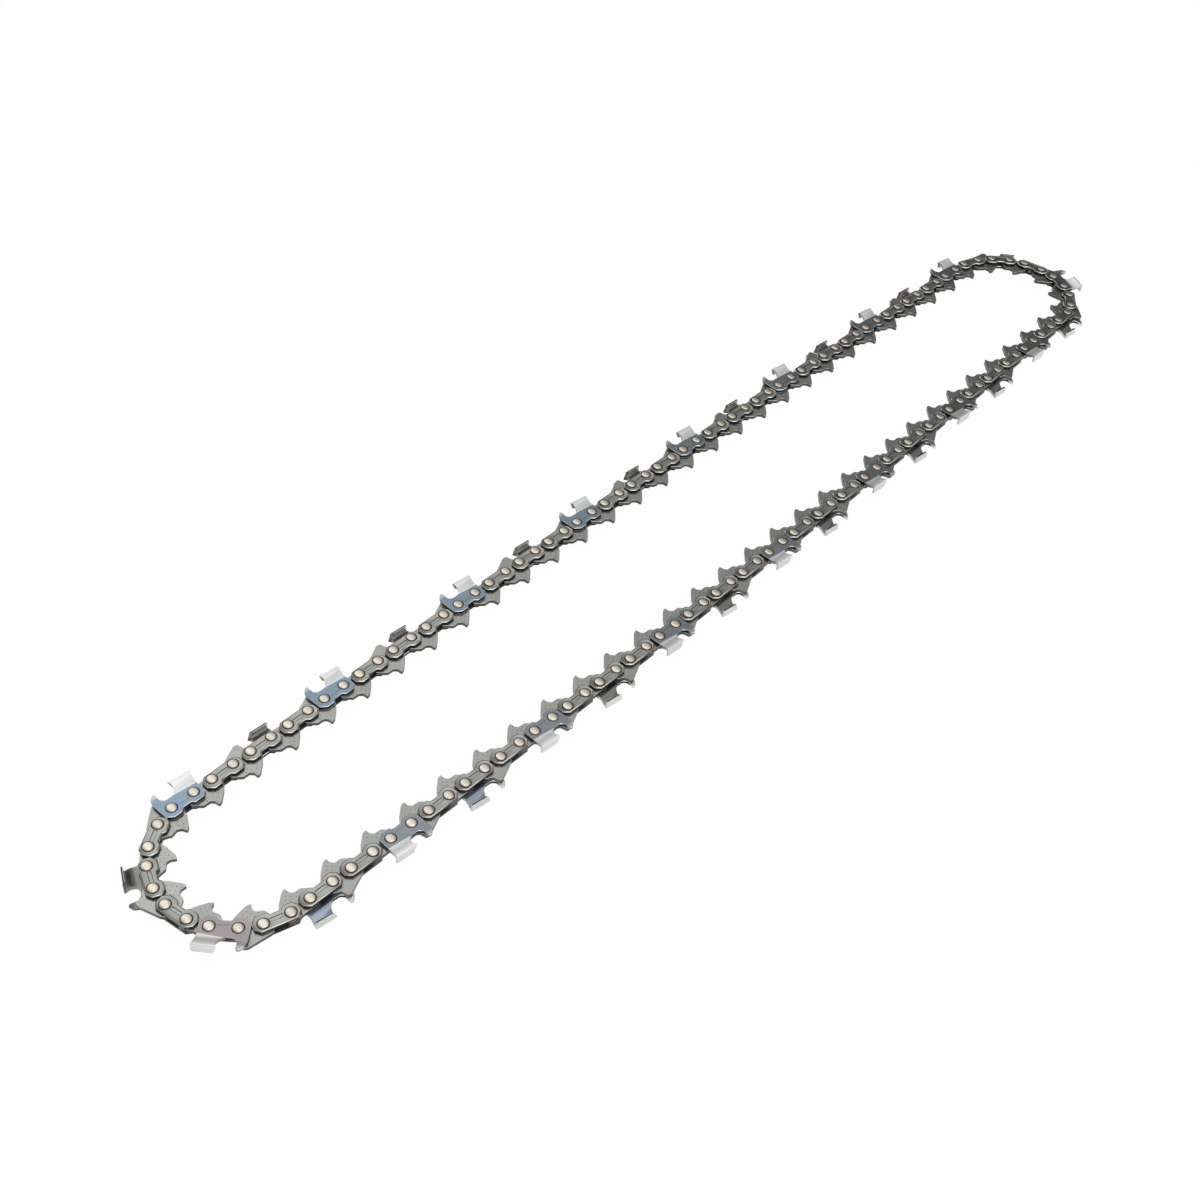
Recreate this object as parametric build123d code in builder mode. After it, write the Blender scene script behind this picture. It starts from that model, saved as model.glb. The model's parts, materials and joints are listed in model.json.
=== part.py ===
from build123d import *

import os
from math import cos, radians, sin

# A saw chain laid flat on its side as a long loop. Lengths are in millimetres, angles in degrees.
# The rivets stand along Z. Drive links run in the middle layer, with the tangs inside the loop.
# Tie straps and cutters lie above and below them. Pivots and pairs are numbered round the loop.

# Rivet spacing, and how many links the loop has
side_pitch = 8.95
drive_pitch = 7.56
left_cutter_count = 17

# Path of the loop: two long runs that bow outward a little, and two bends of half a turn
bend_pivots = 11
run_bow = 3.0
bend_pairs = 6
end_stretch_pairs = 9

# Layers
gauge = 1.5
side_thickness = 1.3
side_play = 0.05
kerf = 7.1

# Tie straps and the feet of the cutters
side_gap = 0.9
side_outer = 2.65
side_inner = 3.65
side_corner = 1.8
waist_depth = 1.1

# Drive links
drive_gap = 2.9
drive_outer = 2.6
lobe_corner = 1.7
tang_depth = 9.0
tang_tip = 3.4
tang_root_depth = 3.1
tang_root_overhang = 2.3
hook_depth = 6.4
hook_start = 2.5
heel_depth = 5.8
heel_lead = 0.6
ramp_depth = 2.9
ramp_overhang = 3.5
bumper_height = 6.7
bumper_peak = 5.9
bumper_foot = 3.6

# Cutters
gauge_height = 8.0
gauge_rake = 2.0
gauge_tip = 1.0
gauge_drop = 0.4
nose_overhang = 0.4
nose_height = 4.7
gullet_height = 3.7
gullet_start = 0.4
tooth_height = 8.5
tooth_lean = 1.7
tooth_start = 3.6
edge_sweep = 1.2
corner_height = 7.3
top_plate_thickness = 0.9
top_plate_edge = 0.8
top_plate_relief = 6.6

# Rivets
head_radius = 1.9
head_height = 0.45
head_sides = 6
flange_radius = 2.1
flange_sides = 16
running_clearance = 0.05

# Sizes that follow from the ones above
half_loop_pairs = 2 * left_cutter_count
middle_stretch_pairs = half_loop_pairs - bend_pairs - 2 * end_stretch_pairs
half_loop_pivots = 2 * half_loop_pairs
loop_pivots = 2 * half_loop_pivots
side_overhang = (drive_pitch - side_gap) / 2
drive_overhang = (side_pitch - drive_gap) / 2
side_bottom = gauge / 2 + side_play
side_top = side_bottom + side_thickness
middle_height = kerf / 2


def pivot_points():
    """Rivet centres round the loop, clockwise seen from above, centred on the origin."""
    first_bend_pivot = 2 * (half_loop_pairs - bend_pairs + 1)
    turning = {(first_bend_pivot + step) % half_loop_pivots for step in range(bend_pivots)}
    bend_turn = (180 - run_bow) / bend_pivots
    run_turn = run_bow / (half_loop_pivots - bend_pivots)
    x, y, heading = 0.0, 0.0, run_bow / 2
    points = [(x, y, heading)]
    for pivot in range(1, loop_pivots):
        spacing = side_pitch if pivot % 2 else drive_pitch
        x += spacing * cos(radians(heading))
        y += spacing * sin(radians(heading))
        heading -= bend_turn if pivot % half_loop_pivots in turning else run_turn
        points.append((x, y, heading))
    centre_x = points[half_loop_pivots][0] / 2
    centre_y = points[half_loop_pivots][1] / 2
    return [(x - centre_x, y - centre_y, heading) for x, y, heading in points]


pivots = pivot_points()


def pivot_place(pivot):
    """Place of one rivet, with X towards the next rivet and Y out of the loop."""
    x, y, heading = pivots[pivot % loop_pivots]
    return Location((x, y, middle_height), (0, 0, heading))


def side_place(pair):
    return pivot_place(2 * pair)


def drive_place(pair):
    """Place of the drive link that runs in front of a side pair."""
    return pivot_place(2 * pair - 1)


def has_left_cutter(pair):
    return pair % 4 == 0


def has_right_cutter(pair):
    return pair % 4 == 2


def has_cutter(pair):
    return has_left_cutter(pair) or has_right_cutter(pair)


# Side links share their foot: cut corners at both ends and a waist in the inner edge
foot_front = [
    (side_pitch / 2, waist_depth - side_inner),
    (side_corner - side_overhang, -side_inner),
    (-side_overhang, side_corner - side_inner),
]
foot_rear = [
    (side_pitch + side_overhang, side_corner - side_inner),
    (side_pitch + side_overhang - side_corner, -side_inner),
]
strap_outline = foot_rear + foot_front + [
    (-side_overhang, side_outer - side_corner),
    (side_corner - side_overhang, side_outer),
    (side_pitch + side_overhang - side_corner, side_outer),
    (side_pitch + side_overhang, side_outer - side_corner),
]

with BuildPart() as upper_strap:
    with BuildSketch(Plane.XY.offset(side_bottom)):
        Polygon(*strap_outline, align=None)
    extrude(amount=side_thickness)

with BuildPart() as lower_strap:
    mirror(upper_strap.part, about=Plane.XY)

# Drive links: a lobe round each rivet and a hooked tang that cleans the bar groove
tang_outline = [
    (drive_pitch + drive_overhang, lobe_corner - drive_outer),
    (drive_pitch + tang_root_overhang, -tang_root_depth),
    (tang_tip, -tang_depth),
    (hook_start, -hook_depth),
    (-heel_lead, -heel_depth),
    (-ramp_overhang, -ramp_depth),
]
front_lobe = [
    (-drive_overhang, drive_outer - lobe_corner),
    (lobe_corner - drive_overhang, drive_outer),
]
rear_lobe = [
    (drive_pitch + drive_overhang - lobe_corner, drive_outer),
    (drive_pitch + drive_overhang, drive_outer - lobe_corner),
]
bumper = [(bumper_peak, bumper_height), (drive_pitch, bumper_foot)]

with BuildPart() as plain_link:
    with BuildSketch(Plane.XY.offset(-gauge / 2)):
        Polygon(*tang_outline, *front_lobe, *rear_lobe, align=None)
    extrude(amount=gauge)

with BuildPart() as bumper_link:
    with BuildSketch(Plane.XY.offset(-gauge / 2)):
        Polygon(*tang_outline, *front_lobe, *bumper, *rear_lobe, align=None)
    extrude(amount=gauge)

# Cutters: the tooth leans out to the kerf, then its top plate turns back across the drive links
tooth_end = side_pitch + side_overhang
tooth_section = [
    (gullet_height, side_top),
    (corner_height, kerf / 2),
    (tooth_height, kerf / 2 - top_plate_thickness / 2),
    (tooth_height, top_plate_edge),
    (tooth_height - top_plate_thickness, top_plate_edge),
    (tooth_height - top_plate_thickness, side_top),
    (gullet_height, side_bottom),
]
tooth_line = Vector(cos(radians(top_plate_relief)), -sin(radians(top_plate_relief)), 0)
tooth_front = Plane.YZ.offset(tooth_start)
root_corner = Vector(tooth_start, gullet_height, side_top)
working_corner = Vector(tooth_start + tooth_lean, tooth_height, side_top)
inner_corner = working_corner + Vector(edge_sweep, 0, top_plate_edge - side_top)
ground_normal = (inner_corner - root_corner).cross(working_corner - root_corner)
ground_face = Plane(root_corner, x_dir=working_corner - root_corner, z_dir=ground_normal)

with BuildPart() as tooth:
    with BuildSketch(tooth_front):
        Polygon(*tooth_section, align=None)
    extrude(amount=(tooth_end - tooth_start) / tooth_line.X, dir=tooth_line)
    split(bisect_by=ground_face, keep=Keep.TOP)
    split(bisect_by=Plane.YZ.offset(tooth_end), keep=Keep.BOTTOM)

cutter_outline = foot_rear + foot_front + [
    (-side_overhang - nose_overhang, nose_height),
    (-side_overhang - nose_overhang + gauge_rake, gauge_height),
    (-side_overhang - nose_overhang + gauge_rake + gauge_tip, gauge_height - gauge_drop),
    (gullet_start, gullet_height),
    (tooth_end, gullet_height),
]

with BuildPart() as left_cutter:
    with BuildSketch(Plane.XY.offset(side_bottom)):
        Polygon(*cutter_outline, align=None)
    extrude(amount=side_thickness)
    add(tooth.part)

with BuildPart() as right_cutter:
    mirror(left_cutter.part, about=Plane.XY)

# Rivets: a spun head on each side, and a flange where the next stretch turns on the rivet
with BuildPart() as upper_head:
    with BuildSketch(Plane.XY.offset(side_top)) as head_seat:
        RegularPolygon(head_radius, head_sides)
    loft(sections=[head_seat.sketch, Vertex(0, 0, side_top + head_height)])

with BuildPart() as lower_head:
    mirror(upper_head.part, about=Plane.XY)

with BuildPart() as flange:
    with BuildSketch(Plane.XY.offset(-side_bottom)):
        RegularPolygon(flange_radius, flange_sides)
    extrude(amount=2 * side_bottom)

with BuildPart() as flange_bore:
    with BuildSketch(Plane.XY.offset(-gauge / 2)):
        RegularPolygon(flange_radius + running_clearance, flange_sides, major_radius=False)
    extrude(amount=gauge)

# Stretches of the loop that bend against each other, each with the side pairs that it carries
stretch_sizes = {
    "back_run_1": end_stretch_pairs,
    "back_run_2": middle_stretch_pairs,
    "back_run_3": end_stretch_pairs,
    "far_bend": bend_pairs,
    "front_run_1": end_stretch_pairs,
    "front_run_2": middle_stretch_pairs,
    "front_run_3": end_stretch_pairs,
    "near_bend": bend_pairs,
}

os.makedirs("parts", exist_ok=True)


def save(builder, name):
    builder.part.label = name
    export_step(builder.part, f"parts/{name}.step")


first_pair = 1
for stretch, pair_count in stretch_sizes.items():
    pairs = range(first_pair, first_pair + pair_count)
    first_pair += pair_count
    start_pivot = pivot_place(2 * pairs[0] - 1)
    end_pivot = pivot_place(2 * pairs[-1] + 1)

    with BuildPart() as tie_straps:
        with Locations(*[side_place(pair) for pair in pairs if not has_left_cutter(pair)]):
            add(upper_strap.part)
        with Locations(*[side_place(pair) for pair in pairs if not has_right_cutter(pair)]):
            add(lower_strap.part)
    save(tie_straps, f"{stretch}_tie_straps")

    with BuildPart() as left_cutters:
        with Locations(*[side_place(pair) for pair in pairs if has_left_cutter(pair)]):
            add(left_cutter.part)
    save(left_cutters, f"{stretch}_left_cutters")

    with BuildPart() as right_cutters:
        with Locations(*[side_place(pair) for pair in pairs if has_right_cutter(pair)]):
            add(right_cutter.part)
    save(right_cutters, f"{stretch}_right_cutters")

    # The first drive link of a stretch turns on the last rivet of the stretch before it
    with BuildPart() as drive_links:
        with Locations(*[drive_place(pair) for pair in pairs if not has_cutter(pair)]):
            add(plain_link.part)
        if not has_cutter(pairs[0]):
            with Locations(start_pivot):
                add(flange_bore.part, mode=Mode.SUBTRACT)
    save(drive_links, f"{stretch}_drive_links")

    with BuildPart() as bumper_links:
        with Locations(*[drive_place(pair) for pair in pairs if has_cutter(pair)]):
            add(bumper_link.part)
        if has_cutter(pairs[0]):
            with Locations(start_pivot):
                add(flange_bore.part, mode=Mode.SUBTRACT)
    save(bumper_links, f"{stretch}_bumper_links")

    with BuildPart() as rivets:
        with Locations(*[pivot_place(2 * pair + end) for pair in pairs for end in (0, 1)]):
            add(upper_head.part)
            add(lower_head.part)
        with Locations(end_pivot):
            add(flange.part)
    save(rivets, f"{stretch}_rivets")
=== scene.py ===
# %% [markdown]
# # A saw chain laid out as a loop
# A saw chain is a long loop of small stamped plates on rivets. Three layers lie on each other: drive
# links in the middle, and tie straps or cutters above and below them. The scene keeps the places of
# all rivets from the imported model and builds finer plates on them, in metres, in the model's frame.

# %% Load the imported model
import json
from math import atan2, cos, hypot, pi, radians, sin, tan

import bmesh
import bpy
import numpy as np
from mathutils import Matrix, Vector

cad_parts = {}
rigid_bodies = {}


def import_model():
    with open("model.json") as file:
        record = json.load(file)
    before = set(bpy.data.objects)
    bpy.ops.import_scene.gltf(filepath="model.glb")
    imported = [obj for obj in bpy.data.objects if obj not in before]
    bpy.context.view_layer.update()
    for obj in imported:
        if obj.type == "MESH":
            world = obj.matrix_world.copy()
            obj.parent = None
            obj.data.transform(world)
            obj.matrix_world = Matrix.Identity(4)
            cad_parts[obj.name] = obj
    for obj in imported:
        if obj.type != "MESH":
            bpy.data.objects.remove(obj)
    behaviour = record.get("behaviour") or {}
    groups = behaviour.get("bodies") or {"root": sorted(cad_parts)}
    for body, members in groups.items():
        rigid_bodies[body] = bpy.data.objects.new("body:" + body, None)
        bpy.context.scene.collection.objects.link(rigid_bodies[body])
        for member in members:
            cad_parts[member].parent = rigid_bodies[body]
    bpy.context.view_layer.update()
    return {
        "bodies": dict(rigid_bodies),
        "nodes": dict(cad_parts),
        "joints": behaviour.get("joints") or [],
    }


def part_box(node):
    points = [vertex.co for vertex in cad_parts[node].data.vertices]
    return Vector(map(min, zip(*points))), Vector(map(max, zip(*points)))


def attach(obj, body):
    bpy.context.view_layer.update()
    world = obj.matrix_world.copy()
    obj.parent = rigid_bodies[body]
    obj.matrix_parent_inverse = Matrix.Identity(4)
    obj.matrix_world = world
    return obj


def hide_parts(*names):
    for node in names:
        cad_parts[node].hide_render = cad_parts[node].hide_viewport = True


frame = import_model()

MM = 0.001

# %% [markdown]
# ## Finding the rivets
# Every plate hangs on two rivets, so the rivets give all the places. Each upper head in the model has
# a crown, its highest corner. Reading those corners beats typing in a list of places: the loop can
# change in the model, and the scene follows it.

# %% Read the crown of each rivet head
crown_depth = 0.01 * MM


def rivet_crowns(stretch):
    """Plan places of the upper rivet heads of one stretch of the chain."""
    mesh = frame["nodes"][f"{stretch}_rivets"].data
    corners = np.array([corner.co for corner in mesh.vertices])
    crowns = corners[corners[:, 2] > corners[:, 2].max() - crown_depth]
    return {(round(x, 6), round(y, 6)) for x, y, _ in crowns.tolist()}


stretch_of_rivet = {crown: name for name in frame["bodies"] for crown in rivet_crowns(name)}
print("rivets:", len(stretch_of_rivet))

# %% [markdown]
# The rivets come in no order. A walk from rivet to nearest rivet puts them in one, because neighbours
# are always closer than any other two. It starts on the first hinge and goes into the stretch that
# hinge carries, so it runs clockwise seen from above.

# %% Walk round the loop
def nearest(place, choices):
    return min(choices, key=lambda other: hypot(other[0] - place[0], other[1] - place[1]))


first_hinge = frame["joints"][0]
loop = [nearest(first_hinge["pos_m"][:2], stretch_of_rivet)]
carried = [rivet for rivet, stretch in stretch_of_rivet.items() if stretch == first_hinge["child"]]
loop.append(nearest(loop[0], carried))
unvisited = set(stretch_of_rivet) - set(loop)
while unvisited:
    loop.append(nearest(loop[-1], unvisited))
    unvisited.remove(loop[-1])

drive_pitch = hypot(loop[1][0] - loop[0][0], loop[1][1] - loop[0][1]) / MM
side_pitch = hypot(loop[2][0] - loop[1][0], loop[2][1] - loop[1][1]) / MM
print(f"drive link pitch {drive_pitch:.2f} mm, side link pitch {side_pitch:.2f} mm")

# %% [markdown]
# The layers come from the boxes of the model's nodes. Heights in the plates' own drawings are counted
# from the middle of the drive links.

# %% Heights of the layers
side_play = 0.05

drive_low, drive_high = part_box("back_run_1_drive_links")
strap_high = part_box("back_run_1_tie_straps")[1]
rivet_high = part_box("back_run_1_rivets")[1]
middle_height = (drive_low.z + drive_high.z) / 2
half_gauge = (drive_high.z - middle_height) / MM
side_bottom = half_gauge + side_play
side_top = (strap_high.z - middle_height) / MM
head_top = (rivet_high.z - middle_height) / MM
half_kerf = middle_height / MM
print(f"half gauge {half_gauge:.2f}, strap {side_bottom:.2f} to {side_top:.2f}, head {head_top:.2f} mm")

# %% [markdown]
# ## Drawing plates
# All plates are stamped from sheet, so each starts as a flat outline. The outline is drawn in the
# link's own frame: the leading rivet is the origin, X runs to the trailing rivet, Y points out of the
# loop. A corner is a point with a radius, which is how a drawing of a stamping gives it too.

# %% Outlines with rounded corners
def rounded(corners, arc_steps=3):
    """Points along an outline whose corners are given as (x, y, radius)."""
    points = []
    neighbours = zip(corners[-1:] + corners[:-1], corners, corners[1:] + corners[:1])
    for before, corner, after in neighbours:
        here = Vector(corner[:2])
        radius = corner[2]
        if radius == 0:
            points.append(tuple(here))
            continue
        back = (Vector(before[:2]) - here).normalized()
        ahead = (Vector(after[:2]) - here).normalized()
        half_angle = back.angle(ahead) / 2
        centre = here + (back + ahead).normalized() * radius / sin(half_angle)
        first = (here + back * radius / tan(half_angle) - centre).normalized()
        last = (here + ahead * radius / tan(half_angle) - centre).normalized()
        for step in range(arc_steps + 1):
            points.append(tuple(centre + first.slerp(last, step / arc_steps) * radius))
    return points


# %% [markdown]
# A plate is the outline pulled up into a slab. A press rounds the rim of every blank a little, and that
# rim is what catches the light, so the rim edges are bevelled as real faces.

# %% Slabs with bevelled rims
same_height = 1e-5


def slab(outline, low, high):
    """Closed slab of an outline between two heights."""
    form = bmesh.new()
    floor = [form.verts.new((x, y, low)) for x, y in outline]
    roof = [form.verts.new((x, y, high)) for x, y in outline]
    form.faces.new(floor[::-1])
    form.faces.new(roof)
    for here in range(len(outline)):
        there = (here + 1) % len(outline)
        form.faces.new((floor[here], floor[there], roof[there], roof[here]))
    bmesh.ops.recalc_face_normals(form, faces=form.faces)
    return form


def bevel_rim(form, height, width):
    """Bevels all edges that lie in the plane of a height."""
    rim = [edge for edge in form.edges if all(abs(v.co.z - height) < same_height for v in edge.verts)]
    bmesh.ops.bevel(form, geom=rim, offset=width, segments=1, profile=0.5, affect="EDGES")


# %% [markdown]
# Slots and punch marks are cut out of a finished slab. A Boolean modifier with the exact solver does
# that without spoiling the flat faces round the cut. The result is read back as a plain mesh.

# %% Objects and cuts
def as_object(form, name):
    """Turns a BMesh into an object in the scene."""
    mesh = bpy.data.meshes.new(name)
    form.to_mesh(mesh)
    form.free()
    piece = bpy.data.objects.new(name, mesh)
    bpy.context.scene.collection.objects.link(piece)
    return piece


def bake_modifiers(piece):
    """Replaces an object's mesh by what its modifiers make of it."""
    graph = bpy.context.evaluated_depsgraph_get()
    mesh = bpy.data.meshes.new_from_object(piece.evaluated_get(graph), depsgraph=graph)
    piece.modifiers.clear()
    piece.data = mesh


def cut(piece, tool_form):
    """Cuts a BMesh out of an object."""
    tool = as_object(tool_form, "cutting tool")
    boolean = piece.modifiers.new("cut", "BOOLEAN")
    boolean.operation = "DIFFERENCE"
    boolean.solver = "EXACT"
    boolean.object = tool
    bake_modifiers(piece)
    bpy.data.objects.remove(tool)


def mirrored(piece, name):
    """A copy of a piece for the other side of the chain, with its faces turned the right way."""
    form = bmesh.new()
    form.from_mesh(piece.data)
    bmesh.ops.scale(form, vec=(1, 1, -1), verts=form.verts)
    bmesh.ops.reverse_faces(form, faces=form.faces)
    return as_object(form, name)


# %% [markdown]
# A finished form is kept in a collection, which Geometry Nodes can take forms from later. Each corner
# first writes down its own place in the drawing. The finishes read that, wherever the link ends up.

# %% Finished forms
SMOOTH_ANGLE = radians(32)


def store_form(collection_name, *pieces):
    """Keeps finished forms, drawn in millimetres, in a collection for the layout to take from."""
    collection = bpy.data.collections.new(collection_name)
    for piece in pieces:
        mesh = piece.data
        places = mesh.attributes.new("link_place", "FLOAT_VECTOR", "POINT")
        places.data.foreach_set("vector", [value for v in mesh.vertices for value in v.co])
        mesh.transform(Matrix.Scale(MM, 4))
        mesh.shade_smooth()
        mesh.set_sharp_from_angle(angle=SMOOTH_ANGLE)
        collection.objects.link(piece)
        bpy.context.scene.collection.objects.unlink(piece)
        print(f"{piece.name}: {len(mesh.polygons)} faces")
    return collection


# %% [markdown]
# ## Tie straps
# A tie strap joins two rivets. Its ends are cut like half an octagon, its inner edge has a notch
# between the rivets where the strap clears the bar, and a shallow slot is pressed along its middle. A
# fine groove runs round the face beside the rim, and its floor is painted dark as shade. Drawn in the
# material alone it would look flat from the side, so it is an inset of the face, pushed down, with a
# mark for the finish.

# %% Draw the tie straps
side_gap = 0.9
end_reach = (drive_pitch - side_gap) / 2
foot_inner = -3.65
strap_outer = 2.65
end_cut = 1.8
notch_floor = -2.5
strap_rim = 0.3
rim_groove = 0.15
groove_depth = 0.04
tool_top = side_top + 1.0

foot_front = [
    (6.9, foot_inner, 0.6),
    (5.8, notch_floor, 0.3),
    (2.7, notch_floor, 0.3),
    (1.6, foot_inner, 0.6),
    (end_cut - end_reach, foot_inner, 0),
    (-end_reach, foot_inner + end_cut, 0),
]
foot_rear = [
    (side_pitch + end_reach, foot_inner + end_cut, 0),
    (side_pitch + end_reach - end_cut, foot_inner, 0),
]
strap_corners = foot_rear + foot_front + [
    (-end_reach, strap_outer - end_cut, 0),
    (end_cut - end_reach, strap_outer, 0),
    (side_pitch + end_reach - end_cut, strap_outer, 0),
    (side_pitch + end_reach, strap_outer - end_cut, 0),
]

slot_depth = 0.16
slot_corners = [(2.35, -0.85, 0.3), (2.35, 0.4, 0.3), (6.6, 0.4, 0.3), (6.6, -0.85, 0.3)]

strap_form = slab(rounded(strap_corners, arc_steps=1), side_bottom, side_top)
bevel_rim(strap_form, side_top, strap_rim)
# The groove's floor is marked, so that the finish paints it dark as shade.
groove_shade = strap_form.faces.layers.float.new("groove_shade")
roof = max(strap_form.faces, key=lambda face: face.calc_center_median().z)
groove = bmesh.ops.inset_region(strap_form, faces=[roof], thickness=rim_groove, depth=-groove_depth)
for face in groove["faces"]:
    face[groove_shade] = 1.0
upper_strap = as_object(strap_form, "strap above")
cut(upper_strap, slab(rounded(slot_corners, arc_steps=2), side_top - slot_depth, tool_top))
lower_strap = mirrored(upper_strap, "strap below")
strap_forms = store_form("tie strap forms", upper_strap, lower_strap)

# %% [markdown]
# ## Drive links
# The tang of a drive link runs in the groove of the guide bar. Its leading side is hooked, to drag oil
# and chips along, and its trailing side is one long convex curve. Every second drive link also has a
# hump on the outside, the bumper, that lifts the wood over the depth gauge behind it. These curves could
# be traced point by point, but corners with radii give them with a handful of numbers.

# %% Draw the tang, the lobes and the bumper
lobe_gap = 2.9
lobe_reach = (side_pitch - lobe_gap) / 2
lobe_lead = 0.1
lobe_outer = 2.6
lobe_radius = 2.4
tang_corners = [
    (drive_pitch + 2.5, -3.0, 1.5),
    (8.1, -5.4, 4.0),
    (4.6, -8.55, 2.0),
    (3.0, -9.05, 0.35),
    (2.85, -7.0, 1.2),
    (1.9, -5.85, 1.0),
    (-0.7, -5.8, 1.2),
    (-3.6, -2.9, 1.2),
]
front_lobe = (-lobe_reach - lobe_lead, lobe_outer, lobe_radius)
rear_lobe = (drive_pitch + lobe_reach, lobe_outer, lobe_radius)
bumper_corners = [
    (5.5, 6.75, 0.7),
    (6.95, 6.5, 0.45),
    (7.6, 3.7, 1.3),
]
print("tang reaches", min(y for _, y, _ in tang_corners), "mm from the rivet line")

# %% [markdown]
# The tang carries rows of punched dots, staggered like bricks. They hold oil. The rule is simple: a dot
# sits at every place of the grid that has enough steel round it and isn't under a tie strap.

# %% Places of the oil dots
dot_spacing = 2.3
row_spacing = 1.1
dot_rows = 6
dot_columns = range(-1, 6)
dot_margin = 0.5
margin_angles = (0.4, 2, 3.5, 5)


def inside(point, outline):
    """Whether a point lies in an outline, by counting the crossings of a ray."""
    crossings = 0
    for (x1, y1), (x2, y2) in zip(outline, outline[1:] + outline[:1]):
        if (y1 > point[1]) != (y2 > point[1]):
            crossings += point[0] < x1 + (point[1] - y1) * (x2 - x1) / (y2 - y1)
    return crossings % 2 == 1


def dot_places(outline):
    """Places of the staggered grid that lie in an outline with steel all round."""
    places = []
    for row in range(dot_rows):
        for column in dot_columns:
            x = dot_spacing * (column + 0.5 * (row % 2))
            y = foot_inner - dot_margin - row_spacing * row
            around = [(x + dot_margin * cos(a), y + dot_margin * sin(a)) for a in margin_angles]
            if all(inside(point, outline) for point in around):
                places.append((x, y))
    return places


plain_outline = rounded(tang_corners + [front_lobe, rear_lobe], arc_steps=4)
print("dots on each face:", len(dot_places(plain_outline)))

# %% Punch the dots, and build both drive links
dot_radius = 0.18
dot_depth = 0.12
dot_sides = 5
drive_rim = 0.1


def dot_punches(outline):
    """Small punches on both faces of a drive link, marked for the finish."""
    punches = bmesh.new()
    pit = punches.faces.layers.float.new("pit")
    for x, y in dot_places(outline):
        for side in (-1, 1):
            bmesh.ops.create_cone(
                punches, cap_ends=True, segments=dot_sides, radius1=dot_radius, radius2=dot_radius,
                depth=2 * dot_depth, matrix=Matrix.Translation((x, y, side * half_gauge)))
    for face in punches.faces:
        face[pit] = 1.0
    return punches


def drive_link(name, outline):
    form = slab(outline, -half_gauge, half_gauge)
    bevel_rim(form, half_gauge, drive_rim)
    bevel_rim(form, -half_gauge, drive_rim)
    link = as_object(form, name)
    cut(link, dot_punches(outline))
    return link


bumper_outline = rounded(tang_corners + [front_lobe] + bumper_corners + [rear_lobe], arc_steps=4)
plain_forms = store_form("plain link forms", drive_link("plain drive link", plain_outline))
bumper_forms = store_form("bumper link forms", drive_link("bumper drive link", bumper_outline))

# %% [markdown]
# ## Cutters
# A cutter is one stamping that does four jobs. Its foot is a link like the tie strap. The finger in
# front is the depth gauge. Behind it a round gullet takes the chips, and then comes the tooth: a side
# plate that leans out to the width of the cut, and a top plate folded back over the chain. The tooth
# falls away to the rear in height and width, so that only its front corner cuts.
#
# A box with its corners moved could stand for the tooth, but the bend is what the light plays on. So it
# is built as a bent sheet. Each row below is one station along the bend, from the root over the working
# corner to the free edge of the top plate: how far out it lies, how high, and where the sheet starts in
# front.

# %% Stations of the bent tooth
tooth_root = 3.7
tooth_top = 8.42
free_edge_height = 0.1
free_edge_outer = 8.45
free_edge_inner = 7.6
outer_stations = [
    (tooth_root, side_top, 3.1),
    (4.0, side_top + 0.04, 4.05),
    (4.75, 2.4, 4.85),
    (6.1, 2.92, 5.4),
    (7.4, 3.42, 5.4),
    (8.1, half_kerf, 5.1),
    (8.35, 3.4, 5.0),
    (tooth_top, 2.85, 5.25),
    (tooth_top, 1.7, 5.7),
    (free_edge_outer, free_edge_height, 6.3),
]
inner_stations = [
    (tooth_root, side_bottom, 3.1),
    (4.1, side_bottom + 0.04, 4.1),
    (4.95, 1.15, 5.05),
    (6.3, 1.75, 5.8),
    (7.0, 2.2, 6.0),
    (7.4, 2.35, 6.1),
    (7.55, 2.3, 6.25),
    (7.6, 2.05, 6.4),
    (7.65, 1.3, 6.6),
    (free_edge_inner, free_edge_height, 7.0),
]
foot_end = side_pitch + end_reach
relief_start = 5.2
relief_growth = 1.2
top_plate_relief = 0.1
side_relief = 0.035
rear_lean = 0.8
length_steps = (0, 0.5, 1)


def tooth_grid(form, stations):
    """Corners of one face of the tooth sheet: a row for each station, from front to rear."""
    rows = []
    for y, z, front in stations:
        rise = (y - tooth_root) / (tooth_top - tooth_root)
        row = []
        for step in length_steps:
            x = front + (foot_end + rear_lean * rise - front) * step
            behind = max(0, x - relief_start) * min(1, rise * relief_growth)
            place = (x, y - top_plate_relief * behind, z - side_relief * behind)
            row.append(form.verts.new(place))
        rows.append(row)
    return rows


print("stations along the bend:", len(outer_stations))

# %% [markdown]
# The sheet gets its faces next, and each face gets a mark that the finish reads later: how much of the
# chrome it has, and whether it is the ground front face or the sheared free edge.

# %% Faces of the tooth
PLATED, REAR_PLATED, UNPLATED = 1.0, 0.6, 0.0
GROUND, SHEARED, ROLLED = 1.0, 0.5, 0.0


def tooth_faces(form, outer, inner, bright, ground):
    """Closes the two faces of the tooth sheet in front, behind and along the free edge."""
    steps = range(len(length_steps) - 1)
    for sheet, plating in ((outer, PLATED), (inner, UNPLATED)):
        for row, next_row in zip(sheet, sheet[1:]):
            for step in steps:
                face = form.faces.new((row[step], row[step + 1], next_row[step + 1], next_row[step]))
                face[bright] = plating
    for end, plating, surface in ((0, PLATED, GROUND), (-1, REAR_PLATED, ROLLED)):
        for step in range(len(outer) - 1):
            face = form.faces.new((outer[step][end], outer[step + 1][end],
                                   inner[step + 1][end], inner[step][end]))
            face[bright] = plating
            face[ground] = surface
    for step in steps:
        face = form.faces.new((outer[-1][step], outer[-1][step + 1],
                               inner[-1][step + 1], inner[-1][step]))
        face[ground] = SHEARED


# %% [markdown]
# The depth gauge is bent a little away from the middle of the chain, along a line across its root. The
# foot is split at that line first, so that the bend is a crisp edge.

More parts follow.
